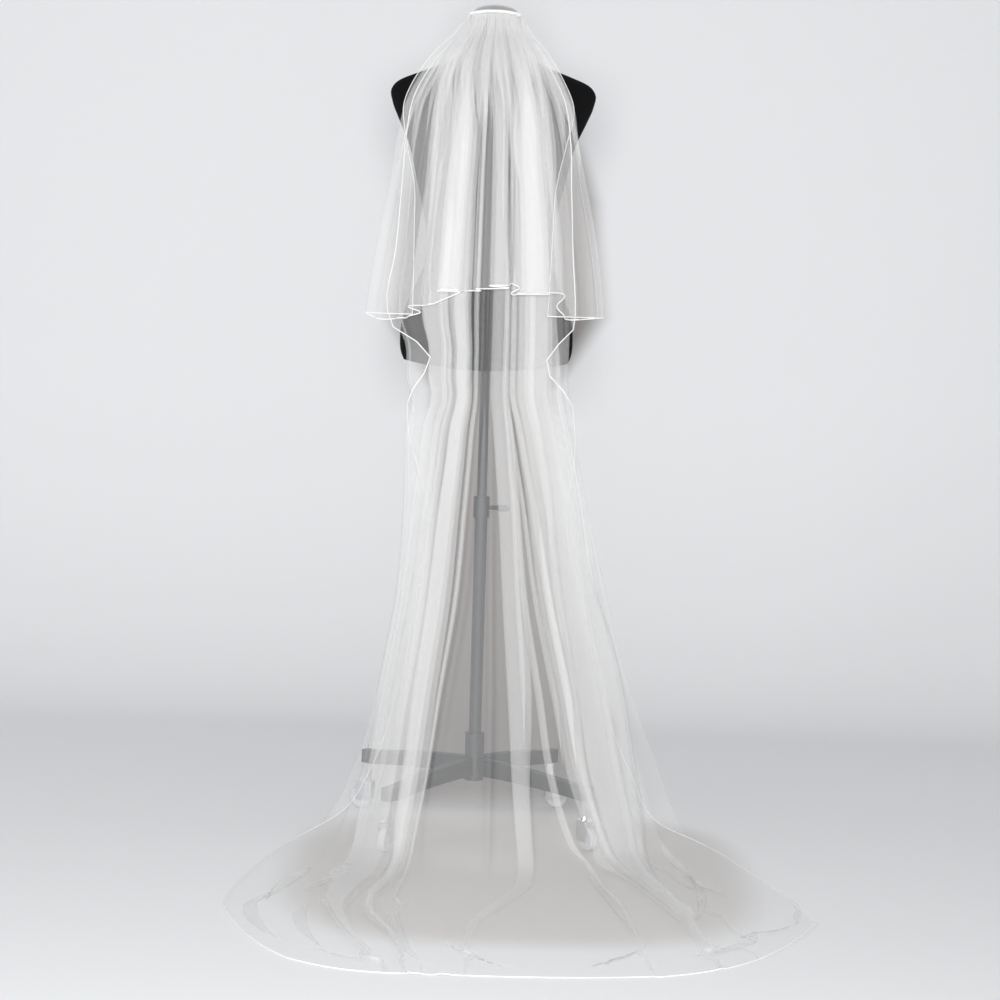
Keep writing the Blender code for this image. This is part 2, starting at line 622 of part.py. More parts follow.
def edge_route(grid, fall, edge, inner):
    """Places of a cord down one free side, from the second row to the hem's corner."""
    clear = WALL / 2 + CORD_RADIUS + SEAT_GAP
    route = []
    for j in range(1, len(grid)):
        below = grid[min(j + 1, len(grid) - 1)][edge]
        along = (below - grid[j - 1][edge]).normalized()
        out = grid[j][edge] - grid[j][inner]
        out = (out - along * out.dot(along)).normalized()
        route.append(grid[j][edge] + out * clear)
    route[-1] += fall[edge] * clear
    return route


def edge_cord(name, grid, fall, parent, material):
    """Thin cord along a sheet's free sides and hem, just outside the edge of the cloth."""
    clear = WALL / 2 + CORD_RADIUS + SEAT_GAP
    hem = [point + down * clear for point, down in zip(grid[-1], fall)]
    route = edge_route(grid, fall, 0, 1) + hem[1:-1] + edge_route(grid, fall, -1, -2)[::-1]
    curve = bpy.data.curves.new(name, "CURVE")
    curve.dimensions = "3D"
    curve.bevel_depth = CORD_RADIUS
    curve.bevel_resolution = 0
    curve.use_fill_caps = True
    spline = curve.splines.new("POLY")
    spline.points.add(len(route) - 1)
    for point, place in zip(spline.points, route):
        point.co = (place.x, place.y, max(place.z, CORD_RADIUS), 1.0)
    obj = bpy.data.objects.new(name, curve)
    bpy.data.collections["bridal_veil"].objects.link(obj)
    obj.parent = parent
    curve.materials.append(material)
    return obj


def lower_grid():
    hip = next(level for level in LOWER_LEVELS if level[-1] > 0)
    start = LOWER_LEVELS[LOWER_LEVELS.index(hip) - 2]
    return cloth_grid(LOWER_LEVELS, LOWER_FOLDS, PLAIN_AFTER_LOWER, (start[1], start[2]),
                      lambda z, hem_x: z)


def upper_grid():
    hem = UPPER_LEVELS[-1]
    return cloth_grid(UPPER_LEVELS, UPPER_FOLDS, PLAIN_AFTER_UPPER, (hem[1], hem[2]),
                      lambda drop, hem_x: lerp(UPPER_TOP, table_value(UPPER_HEM, hem_x), drop))


def clear_scene():
    for obj in list(bpy.data.objects):
        bpy.data.objects.remove(obj)
    for name in ("bridal_veil", "helpers"):
        collection = bpy.data.collections.new(name)
        bpy.context.scene.collection.children.link(collection)


def main():
    clear_scene()
    axis = bpy.data.objects.new("stand_axis", None)
    bpy.data.collections["bridal_veil"].objects.link(axis)
    axis.location = (AXIS_X, AXIS_Y, 0)
    black_cloth = make_material("black jersey", (0.012, 0.012, 0.013), 0.92)
    silver = make_material("satin silver", (0.62, 0.62, 0.60), 0.30, 1.0)
    dark_metal = make_material("dark grey enamel", (0.045, 0.047, 0.050), 0.42, 0.35)
    chrome = make_material("chrome", (0.75, 0.76, 0.78), 0.12, 1.0)
    clear = make_material("clear plastic", (0.62, 0.64, 0.66), 0.18)
    tulle = make_material("ivory tulle", (0.86, 0.86, 0.83), 0.75, alpha=0.45)
    satin = make_material("ivory satin cord", (0.90, 0.89, 0.85), 0.45)
    torso(axis, black_cloth)
    neck_cap(axis, silver)
    stand(axis, dark_metal)
    thumbscrew(axis, dark_metal)
    for index, (azimuth, heading) in enumerate(zip(LEG_AZIMUTHS, CASTER_HEADINGS), 1):
        leg(index, azimuth, axis, dark_metal)
        caster(index, azimuth, heading, axis, chrome, clear)
    comb(axis, clear)
    header_band(axis, satin)
    for name, (grid, fall) in (("lower", lower_grid()), ("upper", upper_grid())):
        sheet(name + "_tier", grid, axis, tulle)
        edge_cord(name + "_edge_cord", grid, fall, axis, satin)


main()
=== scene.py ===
"""Two tier bridal veil of soft net on a limbless dress form with a wheeled stand."""

import math

import bmesh
import bpy
import numpy as np
from mathutils import Matrix, Vector


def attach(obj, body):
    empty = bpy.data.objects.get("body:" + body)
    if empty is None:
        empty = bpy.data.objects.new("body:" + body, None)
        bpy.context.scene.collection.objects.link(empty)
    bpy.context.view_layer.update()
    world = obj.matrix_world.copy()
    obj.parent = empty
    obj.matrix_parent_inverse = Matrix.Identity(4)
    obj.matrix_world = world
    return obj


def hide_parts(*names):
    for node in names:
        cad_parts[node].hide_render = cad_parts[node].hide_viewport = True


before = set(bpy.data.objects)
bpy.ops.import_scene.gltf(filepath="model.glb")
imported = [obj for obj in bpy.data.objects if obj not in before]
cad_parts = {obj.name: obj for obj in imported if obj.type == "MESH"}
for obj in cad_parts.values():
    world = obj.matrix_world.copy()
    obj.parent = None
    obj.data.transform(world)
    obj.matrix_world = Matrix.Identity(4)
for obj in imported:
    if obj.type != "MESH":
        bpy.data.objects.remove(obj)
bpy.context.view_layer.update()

bl_info = {
    "name": "Two tier bridal veil",
    "version": (1, 0, 0),
    "blender": (4, 5, 0),
    "location": "3D View > Sidebar > Veil",
    "description": "Builds a corded two tier veil, its header, the dress form, the stand and a stage",
    "category": "Add Mesh",
}

LOOKS = {}

# The pole's place in the part's own frame.
AXIS = Vector((-0.0874, 0.3969, 0.0))
CAMERA_PLACE = Vector((0.035, -4.5, 1.0))
CAMERA_PITCH = math.radians(90.0 - 4.62)
CAMERA_ROLL = math.radians(1.70)
CAMERA_LENS = 85.07

# Profile of the cloth, in shares of the distance between stacked layers except the inset, a
# share of the fold's width, the strip's step, in metres, the side cord, a share of the hem's
# radius, and the evenness of the columns.
TURN_BULGE = 0.45
FOLD_LEAN = 0.30
FOLD_INSET = 0.13
RIDGE_HEIGHT = 1.50
RIDGE_FOOT = 1.20
RIPPLE = 0.35
STRIP_STEP = 0.0030
STRIP_LIFT = 2.60
SIDE_CORD = 0.55
COLUMN_EVENNESS = 0.8

# Levels down the lower tier, comb to hem: height; x of the left and the right outer crease;
# y at the middle and at the creases; power of the curve between them; distance between
# stacked layers; share of the folds that has formed; the left and the right end strip as
# width and turn, 0 flat, 1 folded behind, -1 folded in front; place in the fold table.
LOWER_LEVELS = (
    (1.5458, -.0415, .0415, -.0545, -.0350, 2.2, .0010, 0.00, (.003, 0.0), (.003, 0.0), 0.0),
    (1.5150, -.0540, .0530, -.0640, -.0430, 2.2, .0020, 0.00, (.003, 0.0), (.003, 0.0), 0.0),
    (1.4750, -.0860, .0810, -.0790, -.0600, 2.2, .0030, 0.04, (.005, 0.0), (.005, 0.0), 0.0),
    (1.4350, -.1120, .1020, -.0920, -.0740, 2.2, .0040, 0.28, (.006, 0.0), (.006, 0.0), 0.0),
    (1.3900, -.1330, .1220, -.1060, -.0920, 2.2, .0046, 0.66, (.007, 0.0), (.007, 0.0), 0.0),
    (1.3200, -.1460, .1340, -.1180, -.0950, 2.2, .0050, 1.00, (.008, 0.0), (.008, 0.0), 0.0),
    (1.2100, -.1540, .1410, -.1250, -.0960, 2.2, .0052, 1.00, (.010, 0.0), (.009, 0.0), 0.0),
    (1.1000, -.1600, .1460, -.1300, -.0970, 2.2, .0052, 1.00, (.012, 0.0), (.010, 0.0), 0.0),
    (1.0000, -.1680, .1480, -.1350, -.1000, 2.2, .0054, 1.00, (.014, -.15), (.012, -.15), 0.0),
    (0.9650, -.1600, .1500, -.1380, -.1030, 2.2, .0054, 1.00, (.022, -.50), (.016, -.50), 0.0),
    (0.9350, -.1470, .1510, -.1400, -.1060, 2.2, .0055, 1.00, (.034, -.85), (.030, -.85), 0.0),
    (0.9000, -.1430, .1510, -.1440, -.1100, 2.2, .0056, 1.00, (.048, -1.), (.044, -1.), 0.0),
    (0.8700, -.1440, .1500, -.1470, -.1120, 2.2, .0058, 1.00, (.032, -1.), (.030, -1.), 0.0),
    (0.8420, -.1330, .1520, -.1500, -.1120, 2.2, .0060, 1.00, (.016, -.70), (.018, -.70), 0.0),
    (0.7800, -.1300, .1650, -.1580, -.1130, 2.2, .0065, 1.00, (.006, -.20), (.008, .20), 0.2),
    (0.7100, -.1350, .1820, -.1730, -.1150, 2.2, .0068, 1.00, (.014, .50), (.018, .50), 0.4),
    (0.6400, -.1300, .1980, -.1880, -.1160, 2.2, .0070, 1.00, (.022, .90), (.032, .85), 0.6),
    (0.4700, -.1520, .2410, -.2320, -.1180, 2.2, .0078, 1.00, (.030, 1.0), (.044, 1.0), 1.0),
    (0.3000, -.1840, .2890, -.2800, -.1180, 2.2, .0082, 1.00, (.034, 1.0), (.052, 1.0), 1.5),
    (0.1500, -.2210, .3480, -.3260, -.1180, 2.2, .0082, 1.00, (.026, 1.0), (.050, 1.0), 1.9),
    (0.0620, -.2590, .3840, -.3620, -.1200, 2.2, .0076, 1.00, (.014, .60), (.034, .60), 2.3),
    (0.0160, -.2930, .4120, -.4050, -.1300, 2.2, .0066, 1.00, (.010, .15), (.016, .15), 2.6),
    (0.0012, -.3240, .4500, -.4700, -.1700, 2.4, .0052, 1.00, (.006, 0.0), (.008, 0.0), 3.0),
    (0.0012, -.3560, .4860, -.6000, -.2900, 2.8, .0050, 1.00, (.006, 0.0), (.006, 0.0), 3.5),
    (0.0012, -.3800, .5200, -.7300, -.4100, 3.2, .0048, 1.00, (.006, 0.0), (.006, 0.0), 4.0),
    (0.0012, -.3940, .5460, -.8600, -.5300, 3.6, .0036, 1.00, (.006, 0.0), (.006, 0.0), 4.45),
    (0.0012, -.3990, .5640, -.9650, -.6200, 4.0, .0020, 1.00, (.006, 0.0), (.006, 0.0), 4.8),
    (0.0012, -.3990, .5740, -1.020, -.6700, 4.2, .0009, 1.00, (.006, 0.0), (.006, 0.0), 5.0),
)

# Folds of the lower tier, left to right: side that the top layer leaves over, layers, plain
# points before it, points along each layer, then the x of its right and left turns at the
# hip, knee, ankle, landing, train and hem. A ridge has one x instead.
LOWER_FOLDS = (
    ("ridge", 1, 2, 0, ((-.1300,), (-.1330,), (-.1980,), (-.2700,), (-.3000,), (-.2700,))),
    ("right", 5, 2, 2, ((-.0610, -.1000), (-.0880, -.1240), (-.1240, -.1780),
                        (-.1560, -.2230), (-.2000, -.2300), (-.1100, -.1130))),
    ("right", 7, 1, 1, ((-.0247, -.0560), (-.0500, -.0830), (-.0920, -.1170),
                        (-.1280, -.1440), (-.1640, -.1700), (-.0830, -.0850))),
    ("left", 3, 1, 0, ((-.0130, -.0165), (-.0360, -.0400), (-.0820, -.0860),
                       (-.1130, -.1170), (-.1180, -.1220), (-.0580, -.0595))),
    ("ridge", 1, 1, 0, ((-.0050,), (-.0240,), (-.0690,), (-.0830,), (-.0850,), (-.0400,))),
    ("ridge", 1, 2, 0, ((.0100,), (.0230,), (.0300,), (.0250,), (-.0300,), (-.0200,))),
    ("right", 3, 2, 1, ((.0330, .0140), (.0700, .0480), (.1010, .0740), (.1060, .0830),
                        (.0180, .0070), (.0040, .0020))),
    ("left", 3, 1, 0, ((.0440, .0400), (.0850, .0810), (.1500, .1450), (.2230, .2180),
                       (.2640, .2590), (.2910, .2895))),
    ("left", 7, 1, 3, ((.1280, .0500), (.2000, .1160), (.2780, .1880), (.3180, .2720),
                       (.3680, .3440), (.3980, .3950))),
    ("ridge", 1, 2, 0, ((.1400,), (.2180,), (.3100,), (.3700,), (.4300,), (.4700,))),
)
PLAIN_AFTER_LOWER = 3

# Levels down the upper tier: share of the drop, then as above.
UPPER_LEVELS = (
    (0.000, -.0460, .0460, -.0620, -.0400, 2.2, .0010, 0.00, (.003, 0.0), (.003, 0.0), 0.0),
    (0.060, -.0620, .0600, -.0750, -.0530, 2.2, .0022, 0.00, (.003, 0.0), (.003, 0.0), 0.0),
    (0.140, -.1020, .0950, -.0980, -.0780, 2.2, .0034, 0.06, (.005, 0.0), (.005, 0.0), 0.0),
    (0.220, -.1310, .1200, -.1180, -.0920, 2.2, .0042, 0.34, (.006, 0.0), (.006, 0.0), 0.0),
    (0.310, -.1540, .1420, -.1360, -.1090, 2.2, .0046, 0.72, (.006, 0.2), (.010, 0.2), 0.0),
    (0.430, -.1740, .1620, -.1480, -.1120, 2.2, .0048, 1.00, (.020, 0.7), (.026, 0.7), 0.0),
    (0.580, -.1880, .1800, -.1560, -.1130, 2.2, .0050, 1.00, (.046, 1.0), (.056, 1.0), 0.0),
    (0.730, -.2040, .1980, -.1630, -.1130, 2.2, .0052, 1.00, (.064, 1.0), (.078, 1.0), 0.0),
    (0.870, -.2170, .2110, -.1690, -.1120, 2.2, .0054, 1.00, (.078, 1.0), (.093, 1.0), 0.0),
    (1.000, -.2270, .2190, -.1750, -.1110, 2.2, .0056, 1.00, (.088, 1.0), (.104, 1.0), 0.0),
)
UPPER_TOP = 1.5458

# Folds of the upper tier, left to right: as above, with the x of the turns at the hem, then
# the height of the hem where it enters the fold and where it leaves it.
UPPER_FOLDS = (
    ("ridge", 1, 2, 0, ((-.1950,),), (.977, .975)),
    ("ridge", 1, 1, 0, ((-.1600,),), (.977, .979)),
    ("left", 3, 1, 2, ((-.1200, -.1410),), (.979, 1.002)),
    ("ridge", 1, 1, 0, ((-.1040,),), (1.003, 1.006)),
    ("right", 7, 1, 1, ((-.0480, -.0895),), (1.029, 1.031)),
    ("ridge", 1, 1, 0, ((-.0300,),), (1.031, 1.032)),
    ("right", 3, 1, 0, ((-.0130, -.0180),), (1.032, 1.036)),
    ("right", 3, 1, 1, ((.0380, .0060),), (1.038, 1.044)),
    ("left", 3, 2, 1, ((.0560, .0460),), (1.048, 1.027)),
    ("left", 7, 1, 1, ((.1130, .0560),), (1.0265, 1.030)),
    ("right", 3, 1, 1, ((.1400, .1280),), (1.034, .985)),
    ("ridge", 1, 2, 0, ((.1650,),), (.984, .985)),
    ("ridge", 1, 1, 0, ((.1950,),), (.987, .988)),
)
PLAIN_AFTER_UPPER = 2
UPPER_HEM_ENDS = (.987, .990)

# How far the cloth of the train is drawn into its laid folds: over 1, it doubles over.
TRAIN_PINCH = 2.2
FOLD_STEPS = 14

# Folds laid on the train: x and d of three points, d measured forward of the pole, then the
# height of the fold and the half width of the cloth that is drawn into it.
TRAIN_FOLDS = (
    ((-.098, .590), (-.116, .773), (-.045, 1.000), .0020, .060),
    ((-.060, .800), (.028, .935), (.100, .985), .0016, .025),
    ((.178, .200), (.245, .540), (.285, .890), .0020, .050),
    ((.300, .830), (.235, .915), (.165, .980), .0016, .024),
    ((.310, .915), (.434, .810), (.530, .640), .0020, .045),
    ((.520, .360), (.556, .560), (.515, .730), .0020, .034),
    ((.420, .770), (.495, .720), (.560, .650), .0016, .034),
    ((-.340, .500), (-.352, .700), (-.250, .905), .0020, .050),
    ((-.280, .880), (-.185, .932), (-.080, .990), .0016, .032),
    ((-.265, .350), (-.315, .490), (-.345, .640), .0020, .040),
    ((-.190, .370), (-.240, .454), (-.300, .600), .0016, .034),
    ((-.240, .600), (-.270, .731), (-.190, .960), .0020, .044),
    ((.320, .080), (.389, .320), (.470, .570), .0016, .036),
    ((.380, .280), (.402, .494), (.365, .720), .0016, .034),
)

# Painted shadow on the wall behind the veil: height, half width. Painted shadow on the floor under the
# train: middle, reach.
SHADE_WIDTHS = ((0.00, .265), (0.22, .225), (0.44, .200), (0.78, .185), (0.98, .330), (1.29, .300),
                (1.56, .200))
TRAIN_SHADE = ((0.0, 0.05), (0.45, 0.54))

# Number of narrow folds across either tier.
FINE_FOLDS = {"upper_tier": 18, "lower_tier": 16}

# Dress form sections: height, half width, depth to the chest, depth to the back.
FORM_SECTIONS = (
    (0.900, 0.156, 0.098, 0.096), (0.912, 0.161, 0.102, 0.104), (0.945, 0.164, 0.106, 0.112),
    (0.990, 0.158, 0.103, 0.110), (1.040, 0.138, 0.095, 0.094), (1.100, 0.116, 0.086, 0.078),
    (1.155, 0.121, 0.092, 0.080), (1.210, 0.133, 0.108, 0.088), (1.265, 0.146, 0.126, 0.097),
    (1.310, 0.158, 0.122, 0.102), (1.350, 0.176, 0.104, 0.099), (1.385, 0.190, 0.082, 0.088),
    (1.408, 0.192, 0.062, 0.074), (1.424, 0.178, 0.052, 0.066), (1.440, 0.140, 0.050, 0.060),
    (1.456, 0.096, 0.051, 0.056), (1.474, 0.066, 0.051, 0.053), (1.500, 0.054, 0.049, 0.050),
    (1.547, 0.048, 0.048, 0.048),
)


def lerp(a, b, share):
    return a + (b - a) * share


class Value:
    """A socket's value in a shader. Python's arithmetic on it adds Math nodes."""

    def __init__(self, shader, socket):
        self.shader, self.socket = shader, socket

    def maths(self, operation, first, second):
        return self.shader.maths_of(operation, first, second)

    def __add__(self, other):
        return self.maths("ADD", self, other)

    def __sub__(self, other):
        return self.maths("SUBTRACT", self, other)

    def __rsub__(self, other):
        return self.maths("SUBTRACT", other, self)

    def __mul__(self, other):
        return self.maths("MULTIPLY", self, other)

    def __pow__(self, other):
        return self.maths("POWER", self, other)

    __radd__, __rmul__ = __add__, __mul__


class Shader:
    """A material with one Principled shader, and short ways to add nodes to it."""

    def __init__(self, name, **sockets):
        self.material = bpy.data.materials.new(name)
        self.material.use_nodes = True
        self.tree = self.material.node_tree
        self.surface = self.tree.nodes["Principled BSDF"]
        self.set(**sockets)

    def node(self, kind, settings=None, inputs=None, output=0):
        made = self.tree.nodes.new(kind)
        for name, value in (settings or {}).items():
            if name == "stops":
                elements = made.color_ramp.elements
                for _ in value[2:]:
                    elements.new(1.0)
                for stop, (place, grey) in zip(elements, value):
                    stop.position, stop.color = place, (grey, grey, grey, 1.0)
            else:
                setattr(made, name, value)
        for name, value in (inputs or {}).items():
            self.feed(made.inputs[name], value)
        return Value(self, made.outputs[output])

    def feed(self, socket, value):
        if isinstance(value, Value):
            self.tree.links.new(value.socket, socket)
        else:
            socket.default_value = value

    def set(self, **sockets):
        for name, value in sockets.items():
            if isinstance(value, tuple) and len(value) == 3:
                value = (*value, 1.0)
            self.feed(self.surface.inputs[name.replace("_", " ")], value)

    def maths_of(self, operation, first, second=0.0):
        return self.node("ShaderNodeMath", {"operation": operation}, {0: first, 1: second})

    def place(self, scale=(1.0, 1.0, 1.0)):
        """Object coordinates, stretched."""
        where = self.node("ShaderNodeTexCoord", output="Object")
        return self.node("ShaderNodeMapping", None, {"Vector": where, "Scale": scale})

    def noise(self, scale, detail=2.0, stretch=(1.0, 1.0, 1.0)):
        return self.node("ShaderNodeTexNoise", None, {
            "Vector": self.place(stretch), "Scale": scale, "Detail": detail})

    def mix(self, factor, first, second):
        made = self.tree.nodes.new("ShaderNodeMix")
        made.data_type = "RGBA"
        for index, value in ((0, factor), (6, first), (7, second)):
            self.feed(made.inputs[index], (*value, 1.0) if isinstance(value, tuple) else value)
        return Value(self, made.outputs[2])

    def bump(self, height, strength, distance):
        self.set(Normal=self.node("ShaderNodeBump", None, {
            "Height": height, "Strength": strength, "Distance": distance}))


def net_look(cloth):
    """Soft net: sheer, with a fine six sided mesh that shows in its relief and colour."""
    shader = Shader("ivory soft net", Roughness=0.62, Alpha=cloth.net_opacity,
                    Sheen_Weight=0.25, Sheen_Roughness=0.45)
    mesh = shader.node("ShaderNodeTexVoronoi", {"feature": "DISTANCE_TO_EDGE"}, {
        "Vector": shader.place(), "Scale": 620.0})
    thread = 1.0 - shader.node("ShaderNodeMapRange", None, {
        "Value": mesh, "From Min": 0.02, "From Max": 0.22})
    tone = shader.noise(9.0, 3.0, (1.0, 1.0, 0.25))
    deep = tuple(c * 0.955 for c in cloth.net_colour)
    shade = shader.mix(tone, deep, tuple(cloth.net_colour))
    shader.set(Base_Color=shader.mix(thread * 0.10, shade, (1.0, 1.0, 1.0)))
    shader.bump(thread * 0.6 + shader.noise(60.0, 2.0) * 0.4, 0.25, 0.0006)
    return shader.material


def cord_look(cloth):
    """Satin thread wound over the edge."""
    shader = Shader("ivory satin cord", Roughness=0.38, Sheen_Weight=0.2)
    wraps = shader.node("ShaderNodeTexWave", {"bands_direction": "DIAGONAL"}, {
        "Vector": shader.place(), "Scale": 420.0, "Distortion": 1.5})
    shader.set(Base_Color=shader.mix(wraps * 0.25, tuple(cloth.cord_colour), (0.74, 0.73, 0.70)))
    shader.bump(wraps, 0.5, 0.0003)
    return shader.material


def jersey_look(colour):
    """Black stretch knit, with fine ribs and a little dust."""
    shader = Shader("black jersey", Roughness=0.95, Specular_IOR_Level=0.12)
    ribs = shader.node("ShaderNodeTexWave", {"bands_direction": "X"}, {
        "Vector": shader.place(), "Scale": 330.0, "Distortion": 0.6})
    dust = shader.noise(38.0, 6.0) ** 3.0
    shader.set(Base_Color=shader.mix(dust * 0.3, tuple(colour), (0.012, 0.012, 0.013)))
    shader.bump(ribs * 0.5 + shader.noise(260.0) * 0.5, 0.35, 0.0006)
    return shader.material


def metal_look(name, colour, roughness, metallic, wear, scale=60.0, bump=0.05):
    """Metal or enamel with faint mottling and rub marks."""
    shader = Shader(name, Metallic=metallic)
    patch = shader.noise(scale, 5.0)
    rub = shader.noise(scale * 4.0, 2.0, (1.0, 1.0, 0.12))
    shader.set(Base_Color=shader.mix(patch * wear, tuple(colour),
                                     tuple(min(c * 1.7 + 0.01, 1.0) for c in colour)),
               Roughness=rub * 0.16 + (roughness - 0.08))
    shader.bump(patch, bump, 0.0008)
    return shader.material


def clear_look(name, colour, alpha, roughness):
    """Clear plastic with fine scratches."""
    shader = Shader(name, Alpha=alpha, IOR=1.49)
    marks = shader.noise(180.0, 4.0)
    shader.set(Base_Color=shader.mix(marks * 0.4, tuple(colour), (0.86, 0.88, 0.90)),
               Roughness=marks * 0.15 + roughness)
    return shader.material


def stage_look(stage):
    """Pale paper, with shade painted into its colour: a painted shadow on the wall behind the veil and
    one on the floor under the train.
    """
    shader = Shader("pale backdrop with painted shade", Roughness=0.9)
    where = shader.node("ShaderNodeTexCoord", output="Object")
    x, y, z = [shader.node("ShaderNodeSeparateXYZ", None, {0: where}, output=k) for k in range(3)]

    def reading(value, low, high, first, last):
        return shader.node("ShaderNodeMapRange", {"interpolation_type": "SMOOTHSTEP"}, {
            "Value": value, "From Min": low, "From Max": high, "To Min": first, "To Max": last})

    # Painted shadow on the wall: a band behind the veil, as wide as the veil at each height, fading
    # out at the top and in front of the pole, mixed towards the shade colour.
    top = SHADE_WIDTHS[-1][0]
    half = shader.node("ShaderNodeValToRGB", {
        "stops": [(height / top, width) for height, width in SHADE_WIDTHS]}, {0: z * (1.0 / top)})
    middle = reading(z, 0.0, 0.80, AXIS.x + 0.055, AXIS.x + 0.005)
    aside = shader.maths_of("ABSOLUTE", x - middle)
    across = reading(shader.maths_of("DIVIDE", aside, half), 0.70, 1.0, 1.0, 0.0)
    below = reading(z, top - 0.20, top, 1.0, 0.0)
    behind = reading(y, AXIS.y - 0.1, AXIS.y + 0.4, 0.0, 1.0)
    pale = shader.mix(shader.noise(1.2, 2.0) * 0.5, tuple(stage.backdrop_colour),
                      tuple(c * 0.985 for c in stage.backdrop_colour))
    wall = shader.mix(across * below * behind, pale, tuple(stage.shade_colour))
    # Painted shadow on the floor: a rounded patch under the train, mixed towards the floor shade
    # colour.
    (centre_x, centre_y), (reach_x, reach_y) = TRAIN_SHADE
    round_x, round_y = (x - centre_x) * (1.0 / reach_x), (y - centre_y) * (1.0 / reach_y)
    rim = shader.maths_of("ABSOLUTE", round_x) ** 3.0 + shader.maths_of("ABSOLUTE", round_y) ** 3.0
    under = reading(rim, 0.45, 1.0, 1.0, 0.0)
    shader.set(Base_Color=shader.mix(under, wall, tuple(stage.floor_shade_colour)))
    from_behind = shader.node("ShaderNodeNewGeometry", output="Backfacing")
    clear = shader.node("ShaderNodeBsdfTransparent")
    both = shader.node("ShaderNodeMixShader", None, {
        0: from_behind, 1: Value(shader, shader.surface.outputs[0]), 2: clear})
    shader.feed(shader.tree.nodes["Material Output"].inputs["Surface"], both)
    return shader.material


def new_piece(name, mesh, look, slot=None, body="display"):
    """Adds a mesh or curve, which rides on a body where it has a slot, as the stage hasn't."""
    obj = bpy.data.objects.new(name, mesh)
    bpy.context.scene.collection.objects.link(obj)
    mesh.materials.append(look)
    if hasattr(mesh, "shade_smooth"):
        mesh.shade_smooth()
    if slot:
        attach(obj, body)
    return obj


def grid_mesh(name, points, closed=False):
    """Mesh through a grid of points, rows by columns; closed joins the last column to the first."""
    rows, columns = points.shape[:2]
    index = np.arange(rows * columns).reshape(rows, columns)
    if closed:
        index = np.concatenate([index, index[:, :1]], axis=1)
    faces = np.stack([index[:-1, :-1], index[1:, :-1], index[1:, 1:], index[:-1, 1:]], axis=-1)
    mesh = bpy.data.meshes.new(name)
    mesh.from_pydata(points.reshape(-1, 3).tolist(), [], faces.reshape(-1, 4).tolist())
    mesh.update()
    return mesh


def tube_curve(name, route, radius, sides=2):
    """Round cord along rows of x, y, z and share of the radius."""
    curve = bpy.data.curves.new(name, "CURVE")
    curve.dimensions = "3D"
    curve.bevel_depth = radius
    curve.bevel_resolution = sides
    curve.use_fill_caps = True
    spline = curve.splines.new("POLY")
    spline.points.add(len(route) - 1)
    spline.points.foreach_set("co", np.hstack([route[:, :3], np.ones((len(route), 1))]).ravel())
    spline.points.foreach_set("radius", route[:, 3])
    return curve


def stack_points(turns, layer, layers, side, run):
    """(x, offset) along cloth that is folded into a flat stack. Its top layer leaves over
    one side, and run counts the points along each layer."""
    right, left = turns
    if side == "left":
        mirrored = stack_points((-left, -right), layer, layers, "right", run)
        return [(-x, offset) for x, offset in reversed(mirrored)]
    inset = FOLD_INSET * (right - left)
    layer *= min(1.0, 4.0 / (layers - 1))
    edges = [(left + inset * (k // 2)) if k % 2 else (right - inset * (k // 2))
             for k in range(layers - 1)] + [right]
    points = [(right, 0.0)]
    for k in range(layers - 1):
        bulge = TURN_BULGE * layer * (-1 if k % 2 else 1)
        points.append((edges[k] + bulge, (k + 0.5) * layer))
        points += [(lerp(edges[k], edges[k + 1], j / (run + 1)), (k + 1) * layer)
                   for j in range(run + 2)]
    return points + [(right + FOLD_LEAN * (layers - 1) * layer, 0.0)]


def strip_points(crease, strip, layer, hand):
    """Points of an end strip beyond an outer crease, from its free edge in."""
    width, turn = strip
    height = (1.2 if turn > 0 else STRIP_LIFT) * layer * abs(turn)
    side = -1 if turn > 0 else 1
    swing = math.pi * abs(turn)
    bulge = TURN_BULGE * layer * abs(turn)
    points = [(crease + hand * share * width * math.cos(swing),
               side * (share * width * math.sin(swing) + height))
              for share in (1.0, 0.75, 0.5, 0.25)]
    points.append((crease + hand * bulge, side * height / 2))
    points.append((crease - hand * lerp(STRIP_STEP, bulge, abs(turn)), 0.0))
    return points


def station_value(values, place):
    """Smooth reading between evenly numbered stations."""
    values = np.asarray(values, float)
    if len(values) == 1:
        return values[0]
    i = min(int(place), len(values) - 2)
    t = place - i
    before, after = values[max(i - 1, 0)], values[min(i + 2, len(values) - 1)]
    slope_0 = (values[i + 1] - before) / (2 if i > 0 else 1)
    slope_1 = (after - values[i]) / (2 if i + 2 < len(values) else 1)
    return ((2 * t ** 3 - 3 * t ** 2 + 1) * values[i] + (t ** 3 - 2 * t ** 2 + t) * slope_0
            + (3 * t ** 2 - 2 * t ** 3) * values[i + 1] + (t ** 3 - t ** 2) * slope_1)


